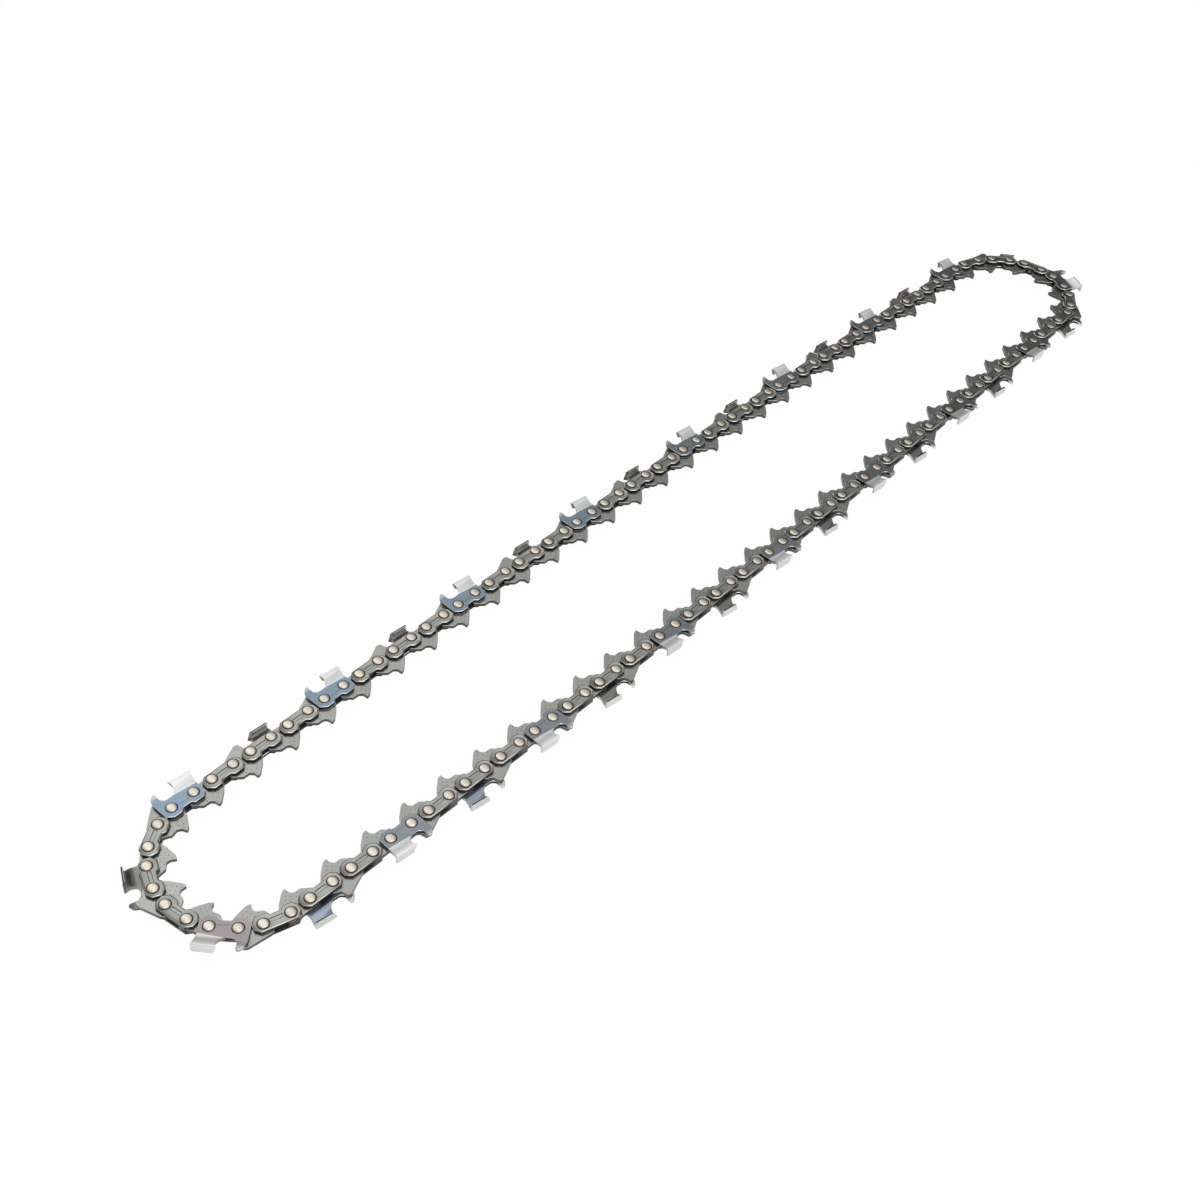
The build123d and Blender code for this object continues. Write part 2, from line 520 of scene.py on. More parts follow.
# %% The foot and its depth gauge
gauge_corners = [
    (-3.75, foot_inner + end_cut, 0),
    (-3.75, 4.6, 1.5),
    (-3.0, 7.0, 1.6),
    (-1.35, 8.25, 0.35),
    (-0.6, 7.75, 0.25),
    (-0.65, 5.2, 1.0),
    (0.55, tooth_root + 0.1, 1.6),
]
gauge_end = 1.0
bend_line = 4.4
gauge_lean = 0.15


def foot_faces(form, outer, inner):
    """The foot from the root of the tooth round to it again; returns its faces, the upper one first."""
    root_line = [(outer_stations[0][2], tooth_root, 0), (foot_end, tooth_root, 0)]
    around = rounded(foot_rear + foot_front[:-1] + gauge_corners + root_line)[:-len(root_line)]
    roof = [form.verts.new((x, y, side_top)) for x, y in around]
    floor = [form.verts.new((x, y, side_bottom)) for x, y in around]
    roof_loop = outer[0][::-1] + roof[::-1]
    floor_loop = inner[0][::-1] + floor[::-1]
    faces = [form.faces.new(roof_loop), form.faces.new(floor_loop)]
    for here in range(len(length_steps) - 1, len(roof_loop)):
        there = (here + 1) % len(roof_loop)
        faces.append(form.faces.new(
            (roof_loop[here], roof_loop[there], floor_loop[there], floor_loop[here])))
    return faces


def lean_gauge(form, faces):
    """Splits the foot at the bend line and tips what lies beyond it."""
    foot = set(faces).union(*(face.edges for face in faces), *(face.verts for face in faces))
    bmesh.ops.bisect_plane(form, geom=list(foot), plane_co=(0, bend_line, 0), plane_no=(0, 1, 0))
    for corner in form.verts:
        if corner.co.x < gauge_end and corner.co.y > bend_line:
            corner.co.z += gauge_lean * (corner.co.y - bend_line)


print("depth gauge stands", max(y for _, y, _ in gauge_corners), "mm from the rivet line")

# %% [markdown]
# All sharp edges of the closed form are bevelled, because a stamped rim is never a knife edge. The tooth
# is the exception that a file keeps sharp, so its edges get only a share of the bevel's width.

# %% Build a whole cutter
cutter_rim = 0.26
tooth_rim_share = 0.35
sharp_edge = radians(35)
touching = 0.01


def weigh_rims(form):
    """Tells a Bevel modifier how wide each edge is to be."""
    weight = form.edges.layers.float.new("bevel_weight_edge")
    for edge in form.edges:
        if edge.calc_face_angle(0) > sharp_edge:
            on_tooth = min(corner.co.y for corner in edge.verts) > tooth_root - touching
            on_gauge = max(corner.co.x for corner in edge.verts) < gauge_end
            edge[weight] = tooth_rim_share if on_tooth and not on_gauge else 1.0


def cutter():
    form = bmesh.new()
    bright = form.faces.layers.float.new("bright")
    ground = form.faces.layers.float.new("ground")
    outer = tooth_grid(form, outer_stations)
    inner = tooth_grid(form, inner_stations)
    faces = foot_faces(form, outer, inner)
    faces[0][bright] = PLATED
    tooth_faces(form, outer, inner, bright, ground)
    lean_gauge(form, faces)
    bmesh.ops.recalc_face_normals(form, faces=form.faces)
    weigh_rims(form)
    return form


cutter_form = cutter()
print("open edges in the cutter:", sum(len(edge.link_faces) != 2 for edge in cutter_form.edges))
left_cutter = as_object(cutter_form, "left cutter")
rim = left_cutter.modifiers.new("rim", "BEVEL")
rim.limit_method = "WEIGHT"
rim.width = cutter_rim
rim.segments = 1
bake_modifiers(left_cutter)

# %% [markdown]
# A fine line is scribed along the foot, between the rivets. It is cut as the strap's slot is. The
# right-hand cutter is the left-hand one mirrored, as on the real chain, so it needs no drawing of its own.

# %% Scribe the line, and mirror the cutter
scribed_line = [(2.4, -0.8, 0), (6.6, -0.8, 0), (6.6, -0.6, 0), (2.4, -0.6, 0)]
scribe_depth = 0.1
cut(left_cutter, slab(rounded(scribed_line), side_top - scribe_depth, tool_top))
right_cutter = mirrored(left_cutter, "right cutter")
left_forms = store_form("left cutter forms", left_cutter)
right_forms = store_form("right cutter forms", right_cutter)

# %% [markdown]
# ## Rivets
# A rivet holds each joint. Both ends are spun over in the factory, which leaves a low dome inside a
# small collar. A dome like this is a profile turned round an axis, so it is laid out ring by ring.

# %% Turn the rivet
head_sides = 14
collar_radius = 2.14
head_rings = [(0.8, 0.02), (1.35, 0.07), (1.66, 0.17), (1.82, 0.36), (collar_radius, 0.41)]
collar_foot = (collar_radius, head_top - side_top)
shank_radius = 1.3
shank_sides = 8
turns = [2 * pi * step / head_sides for step in range(head_sides)]


def rivet():
    form = bmesh.new()
    for side in (1, -1):
        crown = form.verts.new((0, 0, side * head_top))
        rings = []
        for radius, drop in head_rings + [collar_foot]:
            height = side * (head_top - drop)
            rings.append([form.verts.new((radius * cos(a), radius * sin(a), height)) for a in turns])
        for step in range(head_sides):
            there = (step + 1) % head_sides
            form.faces.new((crown, rings[0][step], rings[0][there]))
            for ring, next_ring in zip(rings, rings[1:]):
                form.faces.new((ring[step], next_ring[step], next_ring[there], ring[there]))
        form.faces.new(rings[-1])
    bmesh.ops.create_cone(form, cap_ends=True, segments=shank_sides, radius1=shank_radius,
                          radius2=shank_radius, depth=2 * side_top)
    bmesh.ops.recalc_face_normals(form, faces=form.faces)
    return form


rivet_forms = store_form("rivet forms", as_object(rivet(), "rivet"))

# %% [markdown]
# ## Shared effects for the finishes
# All plates are steel from the same coil, so two effects serve every finish. The first tells faces,
# bevelled rims and stamped walls apart by how far a face tips from lying flat: the walls get a painted
# shade, and the rims a painted highlight. The second is a cloudy stain with a fine rolled grain.

# %% Helpers for nodes and sums
def linear(red, green, blue):
    """A screen colour from 0 to 255 as the linear colour that a shader takes."""
    channels = [value / 255 for value in (red, green, blue)]
    return [c / 12.92 if c <= 0.04045 else ((c + 0.055) / 1.055) ** 2.4 for c in channels] + [1]


def add(tree, kind, inputs=None, **settings):
    """Adds a node, sets its options, and links or sets its inputs."""
    node = tree.nodes.new(kind)
    for name, value in settings.items():
        setattr(node, name, value)
    for key, value in (inputs or {}).items():
        if isinstance(value, bpy.types.NodeSocket):
            tree.links.new(value, node.inputs[key])
        else:
            node.inputs[key].default_value = value
    return node


def calculate(tree, operation, *values):
    """One step of arithmetic on sockets or plain numbers."""
    return add(tree, "ShaderNodeMath", dict(enumerate(values)), operation=operation).outputs[0]


def times(tree, first, second):
    return calculate(tree, "MULTIPLY", first, second)


def length(tree, first, second):
    """Length of a line from its two legs."""
    squares = calculate(tree, "ADD", times(tree, first, first), times(tree, second, second))
    return calculate(tree, "SQRT", squares)


def mark(tree, name):
    """A number that the mesh carries along as an attribute."""
    return add(tree, "ShaderNodeAttribute", attribute_name=name).outputs["Fac"]


# %% Helpers for masks and mixes
def blend(tree, share, first, second, mode="MIX"):
    """Mixes two colours by a share from 0 to 1."""
    node = add(tree, "ShaderNodeMix", {"Factor": share}, data_type="RGBA", blend_type=mode)
    for key, value in ((6, first), (7, second)):
        if isinstance(value, bpy.types.NodeSocket):
            tree.links.new(value, node.inputs[key])
        else:
            node.inputs[key].default_value = value
    return node.outputs[2]


def ease(tree, value, low, high):
    """0 below low, 1 above high, smooth between."""
    return add(tree, "ShaderNodeMapRange", {"Value": value, "From Min": low, "From Max": high},
               interpolation_type="SMOOTHSTEP").outputs["Result"]


# %% A helper for groups
def group(name, inputs, outputs):
    """An empty shader node group with its named sockets."""
    tree = bpy.data.node_groups.new(name, "ShaderNodeTree")
    for socket, kind, value in inputs:
        made = tree.interface.new_socket(socket, in_out="INPUT", socket_type=kind)
        made.default_value = value
    for socket, kind in outputs:
        tree.interface.new_socket(socket, in_out="OUTPUT", socket_type=kind)
    return tree, tree.nodes.new("NodeGroupInput").outputs, tree.nodes.new("NodeGroupOutput").inputs


# %% Stamped edges: painted shade on the walls, painted highlight on the rims
COLOUR, NUMBER = "NodeSocketColor", "NodeSocketFloat"
flat_from, flat_to = 0.78, 0.9
rim_from, rim_to = 0.15, 0.5

edge_shade_and_highlight, given, result = group(
    "Painted edge shade and highlight",
    [("Face", COLOUR, (0.4, 0.4, 0.4, 1)), ("Rim", COLOUR, (0.6, 0.6, 0.6, 1)),
     ("Wall", COLOUR, (0.03, 0.03, 0.03, 1))],
    [("Colour", COLOUR), ("Flat", NUMBER)])
tip = add(edge_shade_and_highlight, "ShaderNodeSeparateXYZ",
          {0: add(edge_shade_and_highlight, "ShaderNodeNewGeometry").outputs["True Normal"]}).outputs["Z"]
level = calculate(edge_shade_and_highlight, "ABSOLUTE", tip)
flat = ease(edge_shade_and_highlight, level, flat_from, flat_to)
on_rim = ease(edge_shade_and_highlight, level, rim_from, rim_to)
# The walls are painted dark as shade, and the rims painted light as a highlight.
wall_shade_and_rim_highlight = blend(edge_shade_and_highlight, on_rim, given["Wall"], given["Rim"])
edge_shade_and_highlight.links.new(blend(edge_shade_and_highlight, flat, wall_shade_and_rim_highlight, given["Face"]), result["Colour"])
edge_shade_and_highlight.links.new(flat, result["Flat"])
print("group:", edge_shade_and_highlight.name)

# %% Rolled grain
grain_size = 4.0
speckle_low, speckle_range = 0.96, 0.08
roughness_low, roughness_range = 0.2, 0.16

rolled_grain, given, result = group(
    "Rolled grain",
    [("Stain size", NUMBER, 0.3), ("Stain depth", NUMBER, 0.2)],
    [("Shade", COLOUR), ("Roughness", NUMBER), ("Height", NUMBER)])
place = add(rolled_grain, "ShaderNodeTexCoord").outputs["Object"]
in_millimetres = add(rolled_grain, "ShaderNodeVectorMath", {0: place, 1: [1 / MM] * 3},
                     operation="MULTIPLY").outputs[0]
stain = add(rolled_grain, "ShaderNodeTexNoise", {
    "Vector": in_millimetres, "Scale": given["Stain size"], "Detail": 4}).outputs["Fac"]
grain = add(rolled_grain, "ShaderNodeTexNoise", {
    "Vector": in_millimetres, "Scale": grain_size, "Detail": 3}).outputs["Fac"]
off_middle = times(rolled_grain, calculate(rolled_grain, "SUBTRACT", stain, 0.5), 2)
tone = calculate(rolled_grain, "ADD", 1.0, times(rolled_grain, off_middle, given["Stain depth"]))
speckle = calculate(rolled_grain, "ADD", speckle_low, times(rolled_grain, grain, speckle_range))
roughness = calculate(rolled_grain, "ADD", roughness_low, times(rolled_grain, stain, roughness_range))
rolled_grain.links.new(times(rolled_grain, tone, speckle), result["Shade"])
rolled_grain.links.new(roughness, result["Roughness"])
rolled_grain.links.new(grain, result["Height"])
print("group:", rolled_grain.name)

# %% [markdown]
# ## Finishes
# Each finish is a Principled shader of metal. Its colour comes from the shared effects, and from the
# place in the link's own drawing, which every form carries along as an attribute. A picture wrapped
# round each link would do too, but drawn by rule the finish stays sharp at any distance.

# %% A steel to start from
metallic = 0.95
grain_height = 0.05 * MM
tint_low, tint_range = 0.93, 0.14


def steel(name, face, rim, wall, stain_size, stain_depth, grain_bump):
    """A metal material with a painted shade on its walls, a painted highlight on its rims, and rolled
    grain; returns what a finish adds to.
    """
    material = bpy.data.materials.new(name)
    material.use_nodes = True
    tree = material.node_tree
    shader = tree.nodes["Principled BSDF"]
    shader.inputs["Metallic"].default_value = metallic
    edges = add(tree, "ShaderNodeGroup", node_tree=edge_shade_and_highlight)
    grain = add(tree, "ShaderNodeGroup", node_tree=rolled_grain)
    for socket, colour in (("Face", face), ("Rim", rim), ("Wall", wall)):
        edges.inputs[socket].default_value = colour
    grain.inputs["Stain size"].default_value = stain_size
    grain.inputs["Stain depth"].default_value = stain_depth
    bump = add(tree, "ShaderNodeBump", {
        "Height": grain.outputs["Height"], "Strength": grain_bump, "Distance": grain_height})
    tree.links.new(bump.outputs[0], shader.inputs["Normal"])
    tree.links.new(grain.outputs["Roughness"], shader.inputs["Roughness"])
    return material, tree, shader, edges, grain


def drawing_place(tree):
    """X, Y and Z in the link's own drawing, in millimetres."""
    place = add(tree, "ShaderNodeAttribute", attribute_name="link_place").outputs["Vector"]
    return add(tree, "ShaderNodeSeparateXYZ", {0: place}).outputs


def finish_colour(tree, shader, colour, grain):
    """Gives the shader a colour, shaded by the grain and by each link's own tint."""
    tone = calculate(tree, "ADD", tint_low, times(tree, mark(tree, "tint"), tint_range))
    shaded = blend(tree, 1.0, colour, grain.outputs["Shade"], "MULTIPLY")
    toned = blend(tree, 1.0, shaded, tone, "MULTIPLY")
    tree.links.new(toned, shader.inputs["Base Color"])


# %% [markdown]
# The straps and drive links are plain tumbled steel. On a strap, the groove and the sides of the slot
# are painted dark as shade, and a brown haze spreads from the rivets. On a drive link the bumper is
# tanned a little, and the punched dots are painted darker than the face, as the shade in them.

# %% Satin steel of the tie straps
slot_axis = -0.22
slot_side = 0.62
slot_half_length = 2.15
line_half_width = 0.13
slot_shade_share, groove_shade_share = 0.85, 0.9
haze_from, haze_to, haze_share = 3.6, 2.2, 0.25
haze_brown = linear(158, 144, 130)
shade_black = linear(45, 46, 43)

# The rim and wall colours are a painted highlight and a painted shade.
strap_steel, tree, shader, edges, grain = steel(
    "satin strap steel", face=linear(170, 173, 168), rim=linear(200, 203, 198), wall=linear(32, 33, 30),
    stain_size=0.12, stain_depth=0.16, grain_bump=0.13)
x, y, _ = drawing_place(tree)
# The sides of the slot and the groove are painted dark as shade.
across = calculate(tree, "ABSOLUTE", calculate(tree, "SUBTRACT", y, slot_axis))
beside_slot = calculate(tree, "COMPARE", across, slot_side, line_half_width)
along_slot = calculate(tree, "COMPARE", x, side_pitch / 2, slot_half_length)
slot_shade = times(tree, times(tree, beside_slot, along_slot), slot_shade_share)
line_shade = calculate(tree, "MAXIMUM", slot_shade, times(tree, mark(tree, "groove_shade"), groove_shade_share))
from_rear = calculate(tree, "ABSOLUTE", calculate(tree, "SUBTRACT", x, side_pitch))
from_rivet = calculate(tree, "MINIMUM", calculate(tree, "ABSOLUTE", x), from_rear)
haze = times(tree, ease(tree, length(tree, from_rivet, y), haze_from, haze_to), haze_share)
hazy = blend(tree, haze, edges.outputs["Colour"], haze_brown)
finish_colour(tree, shader, blend(tree, line_shade, hazy, shade_black), grain)
print("finish:", strap_steel.name)

# %% Drive link steel
tan_from, tan_to, tan_share = 3.0, 6.0, 0.15
bumper_tan = linear(165, 150, 140)
pit_shade_grey = linear(88, 89, 85)

# The rim and wall colours are a painted highlight and a painted shade.
drive_steel, tree, shader, edges, grain = steel(
    "drive link steel", face=linear(172, 174, 169), rim=linear(186, 188, 183), wall=linear(80, 81, 77),
    stain_size=0.15, stain_depth=0.14, grain_bump=0.15)
_, y, _ = drawing_place(tree)
on_bumper = times(tree, ease(tree, y, tan_from, tan_to), tan_share)
tanned = blend(tree, on_bumper, edges.outputs["Colour"], bumper_tan)
# The punched dots are painted darker, as the shade in them.
finish_colour(tree, shader, blend(tree, mark(tree, "pit"), tanned, pit_shade_grey), grain)
print("finish:", drive_steel.name)

# %% [markdown]
# The cutters are hardened, and the heat leaves a film of oxide that looks blue, or purple and grey
# where it ran hotter. Each cutter carries a number for that, from 0 to 1, and a colour ramp turns it
# into the film. The film is cloudy, and it fades towards the far end of the loop.

# %% Heat film of the cutters
film_stops = (
    (0.0, linear(142, 163, 182)),
    (0.4, linear(160, 152, 154)),
    (0.68, linear(162, 152, 154)),
    (0.8, linear(138, 146, 153)),
    (1.0, linear(134, 133, 128)),
)
cloud_size = 300.0
cloud_from, cloud_to, cloud_share = 0.45, 0.7, 0.18
fade_from, fade_to, fade_share = -0.2, 0.1, 0.65
cloud_violet = linear(144, 142, 155)
faded_grey = linear(148, 151, 149)


def ramp(tree, value, stops):
    """A colour ramp with stops of (place, colour) in rising order."""
    node = add(tree, "ShaderNodeValToRGB", {"Fac": value})
    while len(node.color_ramp.elements) < len(stops):
        node.color_ramp.elements.new(0.5)
    for element, (place, colour) in zip(node.color_ramp.elements, stops):
        element.position = place
        element.color = colour
    return node.outputs["Color"]


# The rim and wall colours are a painted highlight and a painted shade.
cutter_steel, tree, shader, edges, grain = steel(
    "blued and plated cutter steel", face=film_stops[0][1], rim=linear(225, 230, 235),
    wall=linear(24, 26, 30), stain_size=0.1, stain_depth=0.2, grain_bump=0.04)
x, y, z = drawing_place(tree)
heat = mark(tree, "temper")
loop_place = add(tree, "ShaderNodeTexCoord").outputs["Object"]
along_loop = add(tree, "ShaderNodeSeparateXYZ", {0: loop_place}).outputs["X"]
cloud = add(tree, "ShaderNodeTexNoise", {
    "Vector": loop_place, "Scale": cloud_size, "Detail": 2}).outputs["Fac"]
clouds = times(tree, ease(tree, cloud, cloud_from, cloud_to), cloud_share)
clouded = blend(tree, clouds, ramp(tree, heat, film_stops), cloud_violet)
fading = times(tree, ease(tree, along_loop, fade_from, fade_to), fade_share)
film = blend(tree, fading, clouded, faded_grey)
blued = blend(tree, edges.outputs["Flat"], edges.outputs["Colour"], film)
print("heat film of", len(film_stops), "colours")

# %% [markdown]
# The tooth is chrome plated on the outside. The plating starts at a straight border on the foot. Inside,
# the sheet is bare. It keeps the heat film where it lies flat, and is grey steel where it is bent up. Its
# sheared free edge is dark, with a painted highlight along each of its two rims.

# %% Border of the plating, and the bare inside
border_height, border_slope, border_blur = 4.2, 0.13, 0.04
plating_from, plating_to = 2.9, 3.1
edge_middle = (free_edge_outer + free_edge_inner) / 2
edge_rim_from, edge_rim_to = 0.2, 0.28
mark_tolerance = 0.1
inner_grey = linear(180, 178, 176)
sheared_dark = linear(62, 62, 60)
edge_rim_highlight = linear(214, 215, 212)

border_line = calculate(tree, "SUBTRACT", border_height, times(tree, x, border_slope))
border = calculate(tree, "SUBTRACT", y, border_line)
on_tooth = times(tree, ease(tree, border, -border_blur, border_blur),
                 ease(tree, x, plating_from, plating_to))
plated = times(tree, on_tooth, mark(tree, "bright"))
unplated = calculate(tree, "SUBTRACT", on_tooth, plated)
surface = mark(tree, "ground")
sheared = calculate(tree, "COMPARE", surface, SHEARED, mark_tolerance)
fallen = times(tree, calculate(tree, "SUBTRACT", x, relief_start), top_plate_relief)
across_edge = calculate(tree, "SUBTRACT", calculate(tree, "ADD", y, fallen), edge_middle)
# Both rims of the sheared edge get a painted highlight.
edge_highlight_share = ease(tree, calculate(tree, "ABSOLUTE", across_edge), edge_rim_from, edge_rim_to)
edge_steel_with_highlights = blend(tree, edge_highlight_share, sheared_dark, edge_rim_highlight)
inner_steel = blend(tree, edges.outputs["Flat"], inner_grey, film)
inner_side = blend(tree, sheared, inner_steel, edge_steel_with_highlights)
uncoated = blend(tree, unplated, blued, inner_side)
print(f"middle of the sheared edge {edge_middle:.2f} mm from the rivet line")

# %% [markdown]
# The chrome is brushed in slanted strokes on the side plate and evenly dull on the top plate. The strokes
# are a sine wave across the sheet, which is enough at this size. The chrome is worn on the right-hand
# cutters and on the hotter ones, and the right-hand one at the near bend gets a painted dark reflection.

# %% Chrome of the tooth
stroke_spacing, stroke_slant, stroke_share = 0.5, 0.6, 0.1
brushed_from, brushed_to, brushed_share = 0.3, 0.5, 0.75
side_plate_from, side_plate_to = 6.3, 5.6
top_plate_from, top_plate_to, top_plate_share = 7.5, 7.7, 0.8
bend_start = 2.75
wear_from, wear_to, wear_share = 0.3, 0.8, 0.5
reflection_from, reflection_to = -0.255, -0.262
bright_chrome, dull_chrome = linear(243, 244, 244), linear(216, 219, 218)
worn_grey, reflection_grey = linear(196, 197, 194), linear(112, 106, 108)

slanted = calculate(tree, "ADD", x, times(tree, y, stroke_slant))
stroke = calculate(tree, "SINE", times(tree, slanted, 2 * pi / stroke_spacing))
side_plate = times(tree, ease(tree, border, brushed_from, brushed_to),
                   ease(tree, y, side_plate_from, side_plate_to))
brushed = calculate(tree, "SUBTRACT", brushed_share, times(tree, stroke, stroke_share))
before_bend = calculate(tree, "LESS_THAN", calculate(tree, "ABSOLUTE", z), bend_start)
top_plate = times(tree, ease(tree, y, top_plate_from, top_plate_to), before_bend)
dullness = calculate(tree, "MAXIMUM", times(tree, side_plate, brushed),
                     times(tree, top_plate, top_plate_share))
chrome = blend(tree, dullness, bright_chrome, dull_chrome)
right_hand = calculate(tree, "LESS_THAN", z, 0.0)
worn = calculate(tree, "MAXIMUM", right_hand, ease(tree, heat, wear_from, wear_to))
worn_chrome = blend(tree, times(tree, worn, wear_share), chrome, worn_grey)
# A painted dark reflection on the right-hand cutters at the near bend.
dark_reflection = times(tree, right_hand, ease(tree, along_loop, reflection_from, reflection_to))
chrome_with_reflection = blend(tree, dark_reflection, worn_chrome, reflection_grey)
print("chrome with strokes every", stroke_spacing, "mm")

# %% [markdown]
# Last come the ground places. The front face of the tooth is ground through the chrome to the steel, and
# the tip of the depth gauge is filed bright, more so on the right-hand cutters. The plating of the
# left-hand ones looks a little milky, so it is less metallic than the rest.

# %% Ground places, and the whole finish of the cutters
tip_from, tip_to, left_tip_share = 5.8, 7.2, 0.5
milkiness = 0.38
ground_steel = linear(132, 124, 118)

on_gauge = calculate(tree, "LESS_THAN", x, gauge_end)
tip_share = calculate(tree, "ADD", left_tip_share, times(tree, right_hand, 1 - left_tip_share))
filed_tip = times(tree, times(tree, ease(tree, y, tip_from, tip_to), on_gauge), tip_share)
bright = calculate(tree, "MAXIMUM", plated, filed_tip)
outside = blend(tree, surface, chrome_with_reflection, ground_steel)
finish_colour(tree, shader, blend(tree, bright, uncoated, outside), grain)
left_plating = times(tree, bright, calculate(tree, "SUBTRACT", 1.0, right_hand))
metal_share = calculate(tree, "SUBTRACT", metallic, times(tree, left_plating, milkiness))
tree.links.new(metal_share, shader.inputs["Metallic"])
print("finish:", cutter_steel.name)

# %% [markdown]
# The dome of a spun rivet is pale and warm, browner towards its rim, and the collar round it is
# painted nearly black, as the shadow under the dome. The distance from the rivet's axis gives all three.

# %% Rivet steel, browner at the rim, with a painted shadow on the collar
warm_from, warm_to = 1.58, 1.8
shadow_from, shadow_to = 1.79, 1.86
dome_pale, dome_brown = linear(226, 219, 206), linear(165, 138, 116)
shadow_black = linear(42, 34, 30)

# The wall colour is a painted shade; the rims keep the face colour.
rivet_steel, tree, shader, edges, grain = steel(
    "spun rivet steel", face=linear(226, 218, 204), rim=linear(226, 218, 204), wall=linear(70, 52, 44),
    stain_size=1.0, stain_depth=0.15, grain_bump=0.12)
x, y, _ = drawing_place(tree)
radius = length(tree, x, y)
warm_edge = blend(tree, ease(tree, radius, warm_from, warm_to), dome_pale, dome_brown)
# The collar is painted nearly black as the shadow under the dome.
collar_shadow = ease(tree, radius, shadow_from, shadow_to)
finish_colour(tree, shader, blend(tree, collar_shadow, warm_edge, shadow_black), grain)
print("finish:", rivet_steel.name)

# %% [markdown]
# ## Laying the links on the rivets
# Hundreds of plates repeat five forms, so Geometry Nodes lay them out. The points are the rivets, each
# with the direction to the next rivet and the number of the form to take. The tree instances the form,
# turns it, gives each link its own tint number from a fixed seed, and realizes the lot.

# %% The layout tree
layout = bpy.data.node_groups.new("Links on rivets", "GeometryNodeTree")
sockets = {}
for name, kind in (("Rivets", "NodeSocketGeometry"), ("Forms", "NodeSocketCollection"),
                   ("Finish", "NodeSocketMaterial"), ("Free turn", "NodeSocketFloat"),
                   ("Seed", "NodeSocketInt")):
    sockets[name] = layout.interface.new_socket(name, in_out="INPUT", socket_type=kind).identifier
layout.interface.new_socket("Links", in_out="OUTPUT", socket_type="NodeSocketGeometry")

given = layout.nodes.new("NodeGroupInput").outputs
forms = add(layout, "GeometryNodeCollectionInfo", {
    "Collection": given["Forms"], "Separate Children": True, "Reset Children": True})
heading = add(layout, "GeometryNodeInputNamedAttribute", {"Name": "heading"}, data_type="FLOAT")
form_number = add(layout, "GeometryNodeInputNamedAttribute", {"Name": "form"}, data_type="INT")
free_turn = add(layout, "FunctionNodeRandomValue", {
    "Max": given["Free turn"], "Seed": given["Seed"]}, data_type="FLOAT")
turn = calculate(layout, "ADD", heading.outputs["Attribute"], free_turn.outputs[1])
instances = add(layout, "GeometryNodeInstanceOnPoints", {
    "Points": given["Rivets"], "Instance": forms.outputs[0], "Pick Instance": True,
    "Instance Index": form_number.outputs["Attribute"],
    "Rotation": add(layout, "ShaderNodeCombineXYZ", {"Z": turn}).outputs[0]})
tint = add(layout, "FunctionNodeRandomValue", {"Seed": given["Seed"]}, data_type="FLOAT")
tinted = add(layout, "GeometryNodeStoreNamedAttribute", {
    "Geometry": instances.outputs[0], "Name": "tint", "Value": tint.outputs[1]},
    data_type="FLOAT", domain="INSTANCE")
realized = add(layout, "GeometryNodeRealizeInstances", {"Geometry": tinted.outputs[0]})
finished = add(layout, "GeometryNodeSetMaterial", {
    "Geometry": realized.outputs[0], "Material": given["Finish"]})
layout.links.new(finished.outputs[0], layout.nodes.new("NodeGroupOutput").inputs["Links"])
print("tree:", layout.name, "with", len(layout.nodes), "nodes")

# %% [markdown]
# Which link goes where follows the order of the loop: a drive link, then a pair of side links, over and
# over. Every second pair has a cutter, left and right by turns, with a strap on its other side, and the
# drive link ahead of a cutter has the bumper.

# %% Say which link sits on which rivet
ABOVE, BELOW = 0, 1
places = {}


def place_link(stretch, kind, rivet, next_rivet, form=0):
    heading = atan2(next_rivet[1] - rivet[1], next_rivet[0] - rivet[0])
    places.setdefault((stretch, kind), []).append((rivet, heading, form))


for pair in range(1, len(loop) // 2 + 1):
    drive_rivet, front_rivet = loop[2 * pair - 2], loop[2 * pair - 1]
    rear_rivet = loop[2 * pair % len(loop)]
    stretch = stretch_of_rivet[front_rivet]
    left, right = pair % 4 == 0, pair % 4 == 2
    drive_kind = "bumper_links" if left or right else "drive_links"
    place_link(stretch, drive_kind, drive_rivet, front_rivet)
    if left:
        place_link(stretch, "left_cutters", front_rivet, rear_rivet)
    else:
        place_link(stretch, "tie_straps", front_rivet, rear_rivet, ABOVE)
    if right:
        place_link(stretch, "right_cutters", front_rivet, rear_rivet)
    else:
        place_link(stretch, "tie_straps", front_rivet, rear_rivet, BELOW)
    for rivet_place in (front_rivet, rear_rivet):
        place_link(stretch, "rivets", rivet_place, rivet_place)
print("pieces:", len(places), "links and rivets:", sum(len(links) for links in places.values()))

# %% [markdown]
# The cutters were not all tempered alike. The left-hand ones go from blue on the back run over purple at
# the bends to grey on the front run. The right-hand ones are grey, but blue on the near third of the
# front run. A rule by side, direction and place does that, and leaves no list to keep.

# %% Heat of the cutters
mean_left_heat = 0.4
blue_right_heat, grey_right_heat = 0.12, 1.0
blue_right_end = -0.1
front_run_cosine = -0.5


def temper(kind, place, heading):
    """How hot a cutter was tempered, from 0 for blue to 1 for grey."""
    if kind == "left_cutters":
        return mean_left_heat - mean_left_heat * cos(heading)
    on_near_front = cos(heading) < front_run_cosine and place[0] < blue_right_end
    return blue_right_heat if on_near_front else grey_right_heat


print("heat of a left-hand cutter on the back run:", temper("left_cutters", (0, 0), 0.0))

# %% [markdown]
# Each piece stands for one node of the model and rides on that node's body, so the scene bends where the
# model does. The tree's result is read back as a plain mesh, which an export can take.

# %% Lay them out, one piece for each node of the model
kinds = {
    "tie_straps": (strap_forms, strap_steel, "strap_steel"),
    "left_cutters": (left_forms, cutter_steel, "cutter_steel"),
    "right_cutters": (right_forms, cutter_steel, "cutter_steel"),
    "drive_links": (plain_forms, drive_steel, "drive_steel"),
    "bumper_links": (bumper_forms, drive_steel, "drive_steel"),
    "rivets": (rivet_forms, rivet_steel, "rivet_steel"),
}


